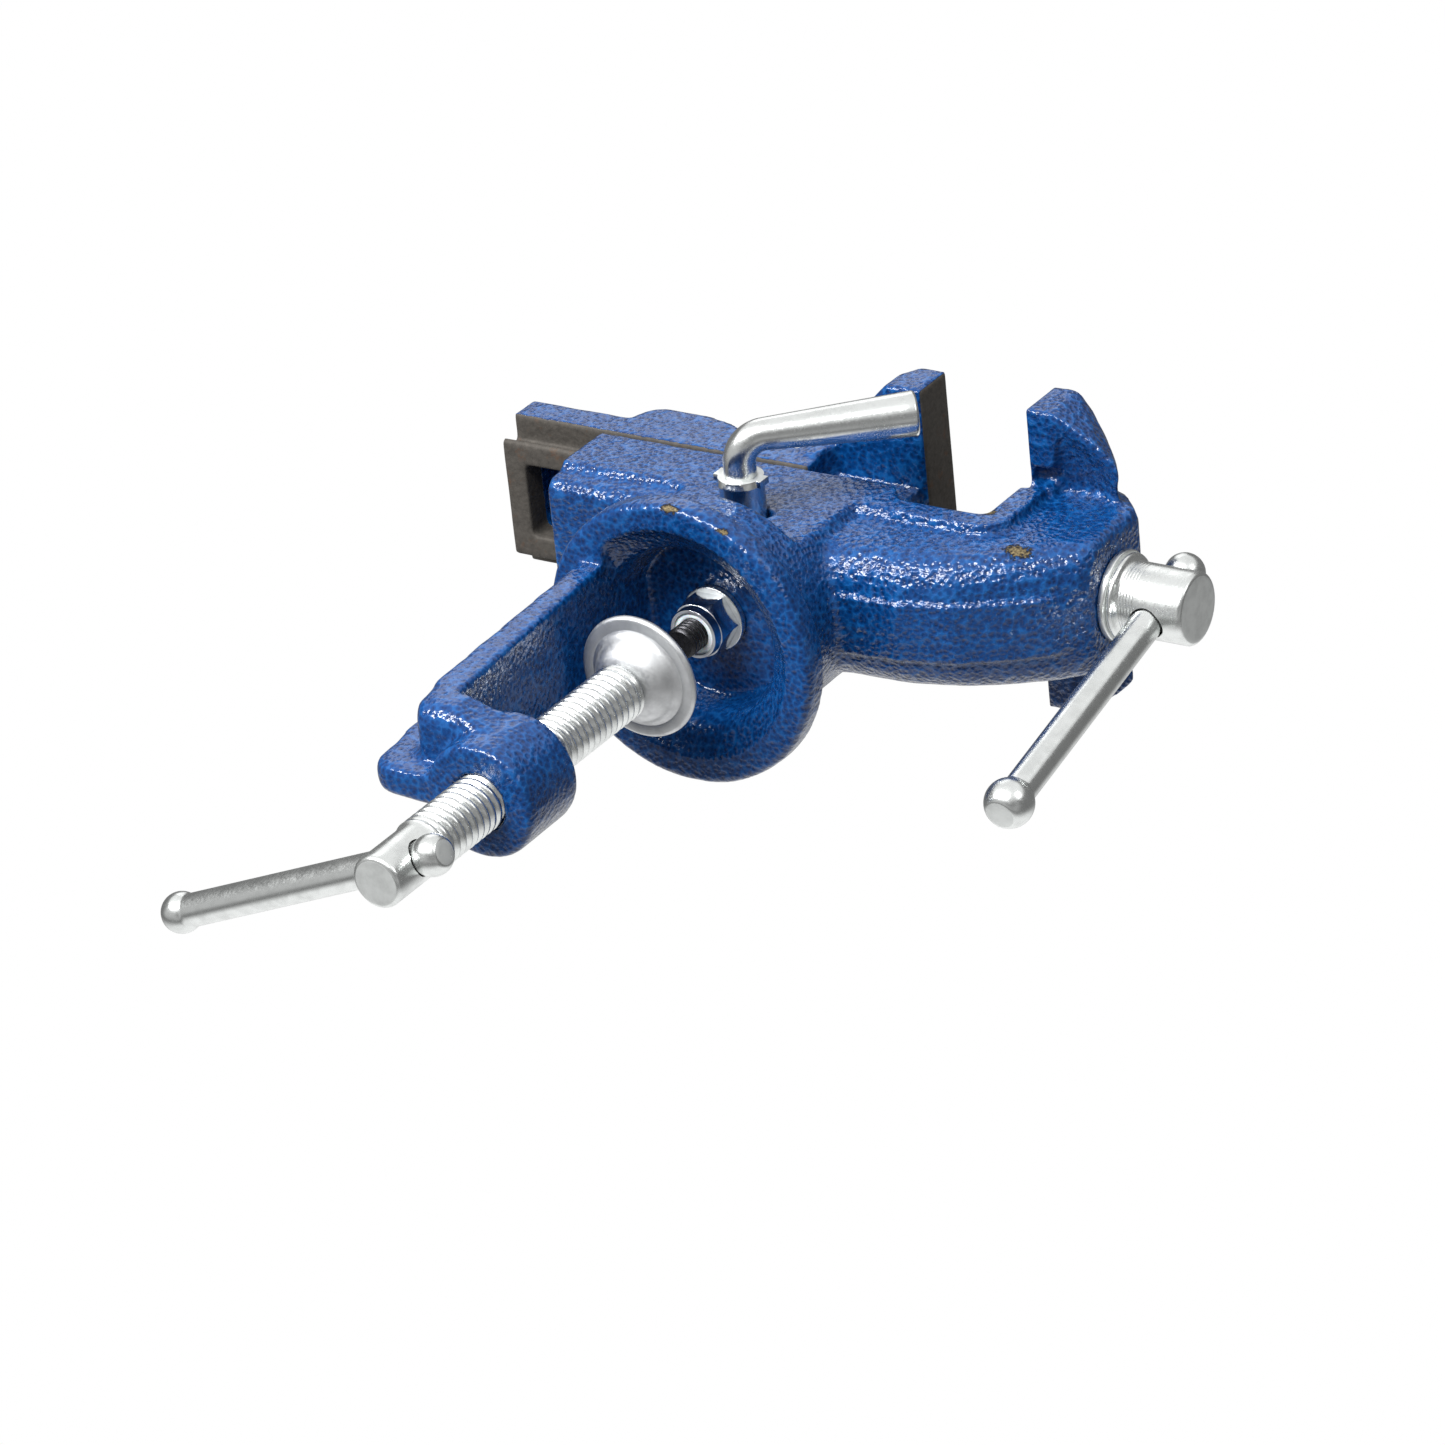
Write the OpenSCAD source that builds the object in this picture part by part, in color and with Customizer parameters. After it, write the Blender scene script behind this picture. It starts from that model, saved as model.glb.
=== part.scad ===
// Clamp-on swivel bench vise: a C-shaped clamp frame grips the bench edge, the cast vise
// body turns on it, and a moving jaw slides in the body's dovetail on a hand-turned screw.
// Frame: the origin is where the swivel axis meets the face that rests on the bench,
// +Z runs up to the jaws, +X runs forward to the main screw handle.

/* [Jaws] */
// Jaw width (mm)
jaw_width = 60; // [50:1:70]
// Gap between the jaws as drawn (mm)
jaw_gap = 21.8; // [0.4:0.1:35]
// Height of the jaw tops above the bench face (mm)
jaw_top = 63.3; // [60:0.1:66]

/* [Clamp] */
// Depth from the bench face to the top of the foot (mm)
throat = 50.8; // [40:0.1:60]
// Distance from the bench face to the pad as drawn (mm)
pad_gap = 11.8; // [1:0.1:42]

/* [Screws] */
// Clamp screw thread diameter (mm)
clamp_thread = 10.6; // [8:0.1:12]
// Main screw thread diameter (mm)
main_thread = 9; // [8:0.1:10]
// Tommy bar diameter (mm)
bar_d = 6; // [5:0.1:7]
// Diameter of the main bar's lower ball (mm)
ball_d = 9; // [8:0.1:10]
// Diameter of the other balls (mm)
small_ball_d = 7.5; // [7:0.1:8]

/* [Swivel] */
// Outer diameter of the swivel disc (mm)
disc_d = 55; // [50:1:60]

/* [Hidden] */
$fn = 96;

blue = [0.12, 0.24, 0.55];
zinc = [0.78, 0.79, 0.80];
iron = [0.22, 0.21, 0.20];
black = [0.08, 0.08, 0.09];
eps = 0.02;

// Clamp frame
rim_t = 5.5;
rim_r = disc_d / 2;
hub_top = 16.4;
hub_r1 = 19.6;
hub_r2 = 18.6;
recess_top = 13;
arm_half = 13.4;
arm_lean = 3.6;
arm_in = -14.5;
arm_out = -19.8;
foot_bottom = -58.8;
boss_r = 10.8;
boss_bottom = -63.9;
boss_top = -48.6;
rib_half = 2.8;

// Vise body
base_r = 22.2;
base_z = 5.55;
flat = 15.2;
arch_half = 13.2;
box_rear = -43.8;
box_front = 16.7;
box_top = 45.1;
box_bottom = 25.6;
rim_z = 40.2;
front_x = 63.8;
face_x = 21 + jaw_gap;
cavity_half = 10.5;
front_round = 2.2;
bolt_z = 25;

// Moving jaw
slab_z0 = 45.45;
slab_z1 = 52.5;
slab_rear = -64;
slide_z = 40.8;
jaw_x = 21;
wing_z = 53.7;
screw_z = 46.95;
nut_x = -28;
nut_len = 14;
nut_top = 53.5;
nut_screw_x = -24;

// Clamp screw
bar_z = -86.2;
bar_turn = -22.3;
head_end = -94.5;

// Swivel bolt and nut
bolt_r = 3;
nut_r = 5.8;

// Main screw
pin_x = 54;
hole_x = 72.5;
screw_end = -37.2;
bar_tilt = 12.5;

// A prism whose outline lies in the XZ plane, centred on y = 0.
module side(half) {
    rotate([90, 0, 0]) linear_extrude(height = 2 * half, center = true) children();
}

// A prism whose outline lies in the YZ plane (drawn as [y, z]), from x0 to x1.
module across(x0, x1) {
    translate([x0, 0, 0]) rotate([90, 0, 90]) linear_extrude(height = x1 - x0) children();
}

// A cylinder lying along X on the main screw axis.
module xrod(x0, x1, r1, r2) {
    translate([x0, 0, screw_z]) rotate([0, 90, 0]) cylinder(r1 = r1, r2 = r2, h = x1 - x0);
}

// A cylinder lying along Y at the height of the lock lever.
module yrod(y0, y1, r1, r2, lift = 0) {
    translate([0, y0, bolt_z + lift]) rotate([-90, 0, 0]) cylinder(r1 = r1, r2 = r2, h = y1 - y0);
}

// A tommy bar along +Z from its first ball at z = 0, with a flat upset on both ends.
module tommy_bar(span, d0, d1) {
    cylinder(d = bar_d, h = span);
    for (end = [[0, d0], [span, d1]])
        intersection() {
            translate([0, 0, end[0]]) sphere(d = end[1]);
            translate([0, 0, end[0]]) cylinder(d = end[1] + 1, h = 0.78 * end[1], center = true);
        }
}

// Clamp frame: rim disc, hub, slanted arm, foot with threaded boss, and a back rib.
module clamp_frame() color(blue) {
    difference() {
        union() {
            rotate_extrude() polygon([[0, 0], [rim_r - 0.8, 0], [rim_r, 0.8],
                [rim_r, rim_t - 0.6], [rim_r - 0.6, rim_t], [0, rim_t]]);
            translate([0, 0, rim_t - eps])
                cylinder(r1 = hub_r1, r2 = hub_r2, h = hub_top - rim_t + eps);
            intersection() {
                union() {
                    side(arm_half) polygon([[arm_out, 3], [arm_in, 3], [arm_in, 0],
                        [arm_in + arm_lean, -throat], [-9, -throat], [-9, foot_bottom],
                        [-12.7, foot_bottom], [-15.2, foot_bottom + 0.9],
                        [-16.8, foot_bottom + 2.6], [-17.1, foot_bottom + 4.8]]);
                    translate([0, 0, foot_bottom])
                        linear_extrude(height = -throat - foot_bottom)
                        polygon([[-15, -arm_half], [-8.6, -arm_half], [-4.4, -12], [0, -boss_r],
                            [0, boss_r], [-4.4, 12], [-8.6, arm_half], [-15, arm_half]]);
                }
                across(-30, 12) {
                    translate([-arm_half, foot_bottom + 4]) square([2 * arm_half, 80]);
                    translate([-arm_half + 4, foot_bottom]) square([2 * arm_half - 8, 10]);
                    for (s = [-1, 1])
                        translate([s * (arm_half - 4), foot_bottom + 4]) circle(r = 4);
                }
            }
            translate([0, 0, boss_bottom]) {
                cylinder(r1 = boss_r - 0.7, r2 = boss_r, h = 0.7);
                translate([0, 0, 0.7]) cylinder(r = boss_r, h = boss_top - boss_bottom - 1.3);
                translate([0, 0, boss_top - boss_bottom - 0.6])
                    cylinder(r1 = boss_r, r2 = boss_r - 0.6, h = 0.6);
            }
            side(rib_half) {
                polygon([[-26.4, 3], [-17, 3], [-12.8, -throat], [-4, foot_bottom + 2],
                    [-4, -63.4], [-18.6, -63.4], [-18.6, -58], [-24, -58]]);
                translate([-18.6, -58]) circle(r = 5.4);
            }
        }
        intersection() {
            rotate_extrude() polygon([[0, -1], [22.9, -1], [22.5, 0], [20.9, 1.6], [17.6, 4],
                [16.4, 6.6], [15.8, recess_top], [0, recess_top]]);
            translate([arm_in, -30, -2]) cube([60, 60, 40]);
        }
        translate([0, 0, recess_top - 1]) cylinder(r = bolt_r + 0.3, h = 8);
        translate([0, 0, boss_bottom - 1]) cylinder(r = clamp_thread / 2 + 0.05, h = 20);
    }
}

// Clamp screw: thread, turned-down tip peened inside the pad, plain cross-drilled head.
module clamp_screw() color(zinc) {
    tip = -pad_gap - 6.5;
    difference() {
        union() {
            translate([0, 0, -81]) cylinder(d = clamp_thread, h = tip + 81 - 0.8);
            translate([0, 0, tip - 0.8]) cylinder(d1 = clamp_thread, d2 = clamp_thread - 1.6, h = 0.8);
            translate([0, 0, tip - eps]) cylinder(r = 3, h = 2.4);
            translate([0, 0, tip + 2.1]) cylinder(r1 = 4.1, r2 = 3.3, h = 1.5);
            translate([0, 0, -82.2]) cylinder(r1 = 4.9, r2 = clamp_thread / 2, h = 1.2 + eps);
            translate([0, 0, head_end + 0.7]) cylinder(r = 4.9, h = -82.2 - head_end - 0.7 + eps);
            translate([0, 0, head_end]) cylinder(r1 = 4.2, r2 = 4.9, h = 0.7 + eps);
        }
        translate([0, 0, bar_z]) rotate([0, 90, bar_turn]) cylinder(d = bar_d + 0.5, h = 20, center = true);
    }
}

// Clamp pad: pressed steel cup, flat flange up to the bench, dome down on the screw.
module clamp_pad() color(zinc) translate([0, 0, -pad_gap]) rotate_extrude()
    polygon([[7.9, -1.5], [11.3, -1.5], [11.75, -1.1], [11.75, -0.3], [11.45, 0], [8.1, 0],
        [7.2, -1.6], [6.4, -3], [5.4, -3.9], [4.6, -4.6], [3.2, -4.8], [3.2, -6.2], [4.8, -6],
        [6.3, -5.1], [7.5, -3.7]]);

// Bar of the clamp screw, slid through until one ball meets the head.
module clamp_bar() color(zinc)
    translate([0, 0, bar_z]) rotate([0, 90, bar_turn]) translate([0, 0, 6.8]) mirror([0, 0, 1])
        tommy_bar(60.8, small_ball_d, small_ball_d);

// Eye bolt on the swivel axis: thread down through the hub, eye up around the lock cam.
module swivel_bolt() color(black) {
    difference() {
        union() {
            translate([0, 0, 1.5]) cylinder(r = bolt_r, h = 19.5);
            translate([0, 0, 0.8]) cylinder(r1 = bolt_r - 0.6, r2 = bolt_r, h = 0.7 + eps);
            yrod(-4.4, 4.4, 5.2, 5.2);
        }
        yrod(-6, 6, 3.5, 3.5);
    }
}

// Plain washer between the nut and the floor of the recess.
module swivel_washer() color(zinc) difference() {
    translate([0, 0, recess_top - 1.4]) cylinder(r = nut_r + 0.4, h = 1.4);
    translate([0, 0, recess_top - 2]) cylinder(r = bolt_r + 0.2, h = 3);
}

// Lock nut: hexagon with a round collar that holds the insert.
module swivel_nut() color(zinc) difference() {
    union() {
        intersection() {
            translate([0, 0, 6.6]) cylinder(r = nut_r, h = recess_top - 8, $fn = 6);
            translate([0, 0, 6.4]) cylinder(r1 = nut_r - 0.7, r2 = nut_r + 1.1, h = recess_top - 7.8);
        }
        translate([0, 0, 5]) cylinder(r1 = nut_r - 1.1, r2 = nut_r - 0.8, h = 1.7);
    }
    translate([0, 0, 4]) cylinder(r = bolt_r, h = 9);
    translate([0, 0, 4]) cylinder(r = bolt_r + 1.1, h = 2.6);
}

// Nylon ring pressed into the collar of the lock nut.
module swivel_nut_insert() color([0.8, 0.84, 0.86]) difference() {
    translate([0, 0, 5.3]) cylinder(r = bolt_r + 1.1, h = 1.3);
    translate([0, 0, 5]) cylinder(r = bolt_r, h = 2);
}

// One cross section of the arch at x, with rounded bottom corners of radius r.
module arch_slice(x, z, half, r) {
    across(x, x + eps) {
        translate([-half, z + r - eps]) square([2 * half, max(rim_z - z - r, 0) + eps]);
        translate([-half + r, z]) square([2 * half - 2 * r, r]);
        for (s = [-1, 1]) translate([s * (half - r), z + r]) circle(r = r, $fn = 32);
    }
}

// Outline of the rib along the top edge of the arch, which turns up to the fixed jaw.
module rim_outline() {
    difference() {
        union() {
            translate([12, 35.2]) square([29, 5]);
            translate([41.5, 40]) square([5, 12.6]);
            translate([39.5, 38.2]) square([4, 4]);
            intersection() {
                translate([40.5, 41.2]) circle(r = 6);
                translate([40.5, 35]) square([6.2, 6.3]);
            }
        }
        translate([39.5, 42.2]) circle(r = 2);
    }
}

// Plan of the fixed jaw at height z: its face, both wings and the middle behind them.
module wing_outline(z, pts) {
    for (s = [0, 1]) mirror([0, s, 0]) translate([0, 0, z]) linear_extrude(height = eps)
        polygon(concat([[face_x, 0], [face_x, jaw_width / 2]], pts, [[pts[len(pts) - 1][0], 0]]));
}

// Vise body: round base, column, guide box, arch, front wall and fixed jaw in one casting.
module vise_body() color(blue) {
    difference() {
        union() {
            translate([0, 0, base_z]) cylinder(r = base_r, h = 11.2);
            translate([0, 0, base_z + 11.2]) cylinder(r1 = base_r, r2 = base_r - 1.2, h = 1.2);
            intersection() {
                translate([0, 0, base_z + 1]) cylinder(r = base_r, h = 34);
                translate([-17, -flat, base_z]) cube([40, 2 * flat, 32]);
            }
            across(box_rear, box_front) {
                polygon([[-flat, 31.4], [-flat, box_top - 0.5], [-flat + 0.5, box_top],
                    [flat - 0.5, box_top], [flat, box_top - 0.5], [flat, 31.4]]);
                polygon([[-flat, 31.42], [-13.9, 30.4], [-13.5, 27.2], [-12, box_bottom],
                    [12, box_bottom], [13.5, 27.2], [13.9, 30.4], [flat, 31.42]]);
            }
            side(flat) polygon([[10, 37], [10, box_top], [19.4, box_top], [20.4, 44.2],
                [23.6, rim_z], [26, 37]]);
            intersection() {
                union() {
                    hull() for (p = [[14, 18.4], [24, 19.1], [34, 19.7], [44, 22.4],
                        [51, 26.3], [57, 30.3], [front_x - 1.2, 35.2], [front_x - eps, 37.4]])
                        arch_slice(p[0], p[1], arch_half, 7.5);
                    side(arch_half) polygon([[43, 34], [51, 34], [57, 37.8], [front_x - 1.2, 42.7],
                        [front_x, 44.9], [front_x, 56], [43, 56]]);
                }
                side(20) polygon([[10, 10], [70, 10], [70, 60], [42.5, 60], [42.5, rim_z], [10, rim_z]]);
                translate([0, 0, 10]) linear_extrude(height = 50) {
                    translate([10, -arch_half]) square([front_x - front_round - 10, 2 * arch_half]);
                    translate([50, -arch_half + front_round])
                        square([front_x - 50, 2 * (arch_half - front_round)]);
                    for (s = [-1, 1]) translate([front_x - front_round, s * (arch_half - front_round)])
                        circle(r = front_round);
                }
            }
            hull() for (p = [[22, 18.4], [34, 19], [44, 21.7], [51, 25.6], [57, 29.6], [61.5, 33.3]])
                arch_slice(p[0], p[1], 5, 1);
            side(flat) rim_outline();
            intersection() {
                union() {
                    side(jaw_width / 2) polygon([[face_x, wing_z], [face_x, jaw_top + 1],
                        [face_x + 0.4, jaw_top + 1.4], [face_x + 4.4, jaw_top + 1.6],
                        [51, jaw_top + 0.4], [55.5, 60.3], [59, 56.8], [61.5, wing_z]]);
                    side(arch_half) polygon([[face_x + 1, wing_z], [50, jaw_top + 0.6],
                        [53, 63.1], [58.4, 60.8], [62.4, 56.6], [front_x, wing_z]]);
                }
                hull() {
                    wing_outline(wing_z, [[48.2, 30], [52.4, 27.9], [57.2, 25.1], [61, 21.5],
                        [63.4, 17], [front_x, 12]]);
                    wing_outline(jaw_top + 2, [[47.6, 30], [51.8, 24.9], [55.4, 21.6],
                        [58, 17], [60, 12]]);
                }
            }
        }
        // Socket for the hub and the hole for the bolt
        translate([0, 0, base_z - 1]) cylinder(r1 = hub_r1 + 0.4, r2 = hub_r2 + 0.3, h = hub_top + 1.3 - base_z);
        translate([0, 0, 14]) cylinder(r = bolt_r + 0.3, h = 10);
        // Room for the eye of the bolt
        translate([-9, -9, 19.4]) cube([18, 18, 14]);
        // Hollow under the slide, through the arch and up to the front wall
        side(cavity_half) polygon([[box_rear - 1, 29.6], [14, 29.6], [20, 25], [36, 25.2],
            [45, 28.4], [52, 33.4], [57.5, 39], [57.5, 51.9], [41, 51.9], [41, 56],
            [box_front, 56], [box_front, 40.4], [box_rear - 1, 40.4]]);
        // Room for the washer and the pin of the main screw
        xrod(50.5, 57.5, 8.8, 8.8);
        // Dovetail guide
        across(box_rear - 1, 30)
            polygon([[-9.84, box_top + 1], [-9.84, box_top], [-13.04, 40.38], [13.04, 40.38],
                [9.84, box_top], [9.84, box_top + 1]]);
        // Bearing of the main screw in the front wall
        xrod(50, 70, main_thread / 2 + 0.05, main_thread / 2 + 0.05);
        // Holes of the lock lever and the small notch beside it
        yrod(-20, 0, 4.2, 4.2);
        yrod(0, 20, 3.25, 3.25);
        translate([3.6, -flat - 1, bolt_z - 0.2]) cube([1.6, 2.4, 2.6]);
        // Scoop under each wing, from its outer edge up to the neck
        for (s = [0, 1]) mirror([0, s, 0]) hull() {
            translate([0, 0, wing_z - 1]) linear_extrude(height = 1)
                polygon([[47, arch_half], [49.3, 28.4], [56.8, 24.1], [60.2, 20.9], [62.4, 17],
                    [62.4, arch_half]]);
            translate([0, arch_half + eps, 0]) rotate([90, 0, 0]) linear_extrude(height = eps)
                polygon([[47, wing_z], [47.5, 56.9], [54.5, 58], [58, 56.4], [62, wing_z]]);
        }
        // Pocket under each wing beside the neck
        for (s = [-1, 1]) translate([face_x + 0.6, s * 16.9 - 1.7, wing_z - 2]) cube([4.9, 3.4, 4.6]);
    }
}

// Lock lever: bent rod, thicker toward its free end, pressed into the cam's collar.
module lock_lever() color(zinc) {
    translate([0, -25, bolt_z]) rotate([0, -39, 0]) {
        rotate([-90, 0, 0]) cylinder(r = 3, h = 6);
        translate([5, 0, 0]) rotate([0, 0, 180]) rotate_extrude(angle = 90)
            translate([5, 0]) circle(r = 3);
        translate([5, -5, 0]) rotate([0, 90, 0]) cylinder(r1 = 3, r2 = 4.2, h = 26.9);
        translate([31.9, -5, 0]) rotate([0, 90, 0]) cylinder(r1 = 4.2, r2 = 3.6, h = 0.7);
    }
}

// Lock cam: collar with a pinched flange, shaft through both walls, offset cam in the eye.
module lock_cam() color(zinc) {
    difference() {
        union() {
            yrod(-21.3, -5, 4.15, 4.15);
            yrod(-22.6, -21.3, 4.2, 4.5);
            translate([-5, -22.6, bolt_z - 1.4]) cube([10, 1.3, 2.8]);
        }
        yrod(-25, -19, 3, 3);
    }
    yrod(-5.1, 5, 3, 3, 0.45);
    difference() {
        yrod(4.9, 17.5, 3.2, 3.2);
        difference() {
            yrod(15.6, 16.6, 4, 4);
            yrod(15.5, 16.7, 2.5, 2.5);
        }
    }
}

// Snap ring that keeps the cam shaft in the body.
module lock_cam_ring() color(iron) difference() {
    yrod(15.7, 16.5, 5, 5);
    yrod(15, 17, 2.5, 2.5);
    translate([-1.6, 15, bolt_z - 6]) cube([3.2, 2, 6]);
}

// Moving jaw: slab with a raised crown and nut housing, dovetail slide, and winged jaw.
module moving_jaw() color(blue) {
    difference() {
        union() {
            across(slab_rear, 0.6)
                polygon([[-flat, slab_z0], [-flat, slab_z1 - 0.6], [-flat + 0.8, slab_z1],
                    [-9.4, slab_z1 + 0.8], [-7.4, 55], [7.4, 55], [9.4, slab_z1 + 0.8],
                    [flat - 0.8, slab_z1], [flat, slab_z1 - 0.6], [flat, slab_z0]]);
            across(0, 19.5)
                polygon([[-10, slab_z0], [-10, 54], [-7.4, 55], [7.4, 55], [10, 54], [10, slab_z0]]);
            side(flat) polygon([[-42.4, slab_z1 - 1], [-41.2, 55.4], [-39.8, 57.4], [-37.4, 58.3],
                [-28.4, 58.1], [-23, 57], [-19, 55], [-15.4, slab_z1 - 1]]);
            across(slab_rear, 19)
                polygon([[-9.3, slab_z0 + eps], [-12.05, slide_z + 0.6], [-11.5, slide_z],
                    [11.5, slide_z], [12.05, slide_z + 0.6], [9.3, slab_z0 + eps]]);
            intersection() {
                side(jaw_width / 2) polygon([[jaw_x, wing_z], [jaw_x, jaw_top - 0.4],
                    [jaw_x - 0.4, jaw_top], [15.4, jaw_top], [13.2, 59.6], [10, 57.6], [4, 55.4],
                    [-5, 53.2], [-5, slab_z0 + 4], [0, slab_z0 + 4], [2, wing_z]]);
                translate([0, 0, 40]) linear_extrude(height = 30)
                    polygon([[jaw_x, -jaw_width / 2], [13.6, -jaw_width / 2], [11.6, -28],
                        [1.4, -16.4], [-5, -15.2], [-5, 15.2], [1.4, 16.4], [11.6, 28],
                        [13.6, jaw_width / 2], [jaw_x, jaw_width / 2]]);
            }
        }
        translate([-59.4, -7.3, slide_z - 1]) cube([73.4, 14.6, 52 - slide_z + 1]);
        translate([nut_x - 0.1, -7.3, 50]) cube([nut_len + 0.2, 14.6, nut_top + 0.1 - 50]);
        xrod(10, 30, main_thread / 2 + 0.6, main_thread / 2 + 0.6);
        translate([nut_screw_x, 0, 52]) cylinder(r = 2.6, h = 8);
        translate([nut_screw_x, 0, 55.6]) cylinder(r = 4.4, h = 4);
    }
}

// Nut of the main screw, a block held in the slide's housing.
module main_nut() color(iron) difference() {
    translate([nut_x, -7.2, 41.6]) cube([nut_len, 14.4, nut_top - 41.6]);
    xrod(nut_x - 1, nut_x + nut_len + 1, main_thread / 2 + 0.05, main_thread / 2 + 0.05);
    translate([nut_screw_x, 0, 51.7]) cylinder(r = 2.5, h = 4);
}

// Screw that fixes the nut, from the top of the housing.
module main_nut_screw() color(zinc) difference() {
    union() {
        translate([nut_screw_x, 0, 51.8]) cylinder(r = 2.5, h = 4);
        translate([nut_screw_x, 0, 55.7]) cylinder(r = 4.1, h = 1.3);
        translate([nut_screw_x, 0, 57 - eps]) cylinder(r1 = 4.1, r2 = 3.3, h = 0.6);
    }
    translate([nut_screw_x - 4.5, -0.6, 56.6]) cube([9, 1.2, 2]);
}

// Main screw: threaded shank, plain journal, flange and cross-drilled barrel head.
module main_screw() color(zinc) difference() {
    union() {
        xrod(screw_end, screw_end + 1, main_thread / 2 - 1, main_thread / 2);
        xrod(screw_end + 1 - eps, 66, main_thread / 2, main_thread / 2);
        xrod(65.25, 66.5, 8, 8);
        xrod(66.5 - eps, 67, 7.4, 6.75);
        xrod(67 - eps, 79, 6.75, 6.75);
        xrod(79 - eps, 79.8, 6.75, 5.9);
    }
    translate([hole_x, 0, screw_z]) rotate([bar_tilt, 0, 0])
        cylinder(d = bar_d + 0.5, h = 30, center = true);
    translate([pin_x, 0, screw_z]) cylinder(r = 1.25, h = 20, center = true);
}

// Steel washer between the head's flange and the front wall.
module thrust_washer() color(zinc) difference() {
    xrod(front_x + 0.1, 65.2, 8.4, 8.4);
    xrod(60, 70, main_thread / 2, main_thread / 2);
}

// Washer inside the front wall.
module inner_washer() color(zinc) difference() {
    xrod(pin_x + 1.3, 57.4, 7.6, 7.6);
    xrod(50, 60, main_thread / 2, main_thread / 2);
}

// Pin through the screw that takes the pull when the jaw opens.
module retaining_pin() color(iron)
    translate([pin_x, 0, screw_z]) cylinder(r = 1.25, h = 14, center = true);

// Bar of the main screw, hanging with its upper ball on the head.
module main_bar() color(zinc)
    translate([hole_x, 0, screw_z]) rotate([bar_tilt, 0, 0]) translate([0, 0, 8.8])
        mirror([0, 0, 1]) tommy_bar(66.2, small_ball_d, ball_d);

clamp_frame();
clamp_screw();
clamp_pad();
clamp_bar();
swivel_bolt();
swivel_washer();
swivel_nut();
swivel_nut_insert();
vise_body();
lock_lever();
lock_cam();
lock_cam_ring();
moving_jaw();
main_nut();
main_nut_screw();
main_screw();
thrust_washer();
inner_washer();
retaining_pin();
main_bar();
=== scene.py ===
"""Looks of a small clamp-on bench vise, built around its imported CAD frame.

Units in this script are millimetres, turned into metres by MM where Blender needs them.
The frame: the origin is where the swivel axis meets the bench face, +Z up to the jaws,
+X forward to the main screw's handle.
"""
import math

import bmesh
import bpy
import numpy as np
from mathutils import Matrix, Vector, noise


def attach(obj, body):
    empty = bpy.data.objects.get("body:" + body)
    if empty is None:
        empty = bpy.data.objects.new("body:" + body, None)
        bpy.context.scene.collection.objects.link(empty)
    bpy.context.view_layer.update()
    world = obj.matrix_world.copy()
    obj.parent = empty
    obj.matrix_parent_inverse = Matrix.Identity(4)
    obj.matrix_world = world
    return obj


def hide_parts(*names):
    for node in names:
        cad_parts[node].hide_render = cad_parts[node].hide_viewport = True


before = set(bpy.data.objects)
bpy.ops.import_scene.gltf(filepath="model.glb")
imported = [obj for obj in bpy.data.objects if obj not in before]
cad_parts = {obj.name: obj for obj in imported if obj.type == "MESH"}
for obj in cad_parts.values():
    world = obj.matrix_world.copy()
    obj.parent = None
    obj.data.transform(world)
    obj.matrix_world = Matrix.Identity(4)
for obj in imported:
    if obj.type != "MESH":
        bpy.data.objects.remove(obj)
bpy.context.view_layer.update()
MM = 0.001
TAU = 2 * math.pi

# Heights, places and sizes shared with the CAD source
SCREW_Z = 46.95
LEVER_Z = 25.0
BAR_Z = -86.2
BAR_TURN = math.radians(-22.3)
HOLE_X = 72.5
BAR_TILT = math.radians(12.5)
BAR_R = 3.0
BAR_HOLE_R = 3.25
BOLT_R = 3.0
NUT_R = 5.8

# The bench screw's and the main screw's threads: pitch, depth, and where each starts and ends
PITCH = 1.814
THREAD_DEPTH = 0.72
CLAMP_THREAD = (-81.2, -19.3)
MAIN_THREAD = (-36.2, 48.0)

# The castings: voxel size of the skin, passes of each rounding and height of the waviness
SKIN = 0.54
ROUND_PASSES = 5
SOFT_PASSES = 60
LUMPS = 0.10

# Brightness of the studio's parts, where 1 is white
FLOOR_GLOW = 0.85
OVERHEAD_GLOW = 0.78
DIM_GLOW = 0.20
FRONT_GLOW = 0.35
TO_CAMERA = (0.51, -0.45, -0.73)

# The floor's height in metres and its own glow
FLOOR_Z = -0.95
FLOOR_EMISSION = 0.40

# Roughness of the zinc parts' turned end faces
END_ROUGH = 0.56


# ---------------------------------------------------------------- camera, light and floor

def make_camera():
    """A long lens from below and in front, rolled so that the vise lies on its side."""
    target = Vector((9.0, 12.8, -1.6)) * MM
    azimuth, elevation, roll = math.radians(-41.55), math.radians(-46.86), math.radians(51.06)
    distance = 1.2123
    away = Vector((math.cos(elevation) * math.cos(azimuth),
                   math.cos(elevation) * math.sin(azimuth), math.sin(elevation)))
    data = bpy.data.cameras.new("camera")
    data.lens, data.sensor_width = 169.76, 36.0
    data.clip_start, data.clip_end = 0.05, 100.0
    camera = bpy.data.objects.new("camera", data)
    bpy.context.scene.collection.objects.link(camera)
    level = away.to_track_quat("Z", "Y").to_matrix().to_4x4()
    camera.matrix_world = (Matrix.Translation(target + away * distance)
                           @ level @ Matrix.Rotation(roll, 4, "Z"))
    bpy.context.scene.camera = camera


def area_light(name, direction, distance, size, power):
    """A soft light of size (width, height) that looks at the middle of the vise from distance
    metres."""
    data = bpy.data.lights.new(name, "AREA")
    data.shape, data.energy = "RECTANGLE", power
    data.size, data.size_y = size
    light = bpy.data.objects.new(name, data)
    bpy.context.scene.collection.objects.link(light)
    away = Vector(direction).normalized()
    facing = away.to_track_quat("Z", "Y").to_matrix().to_4x4()
    light.matrix_world = Matrix.Translation(away * distance) @ facing


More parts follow.
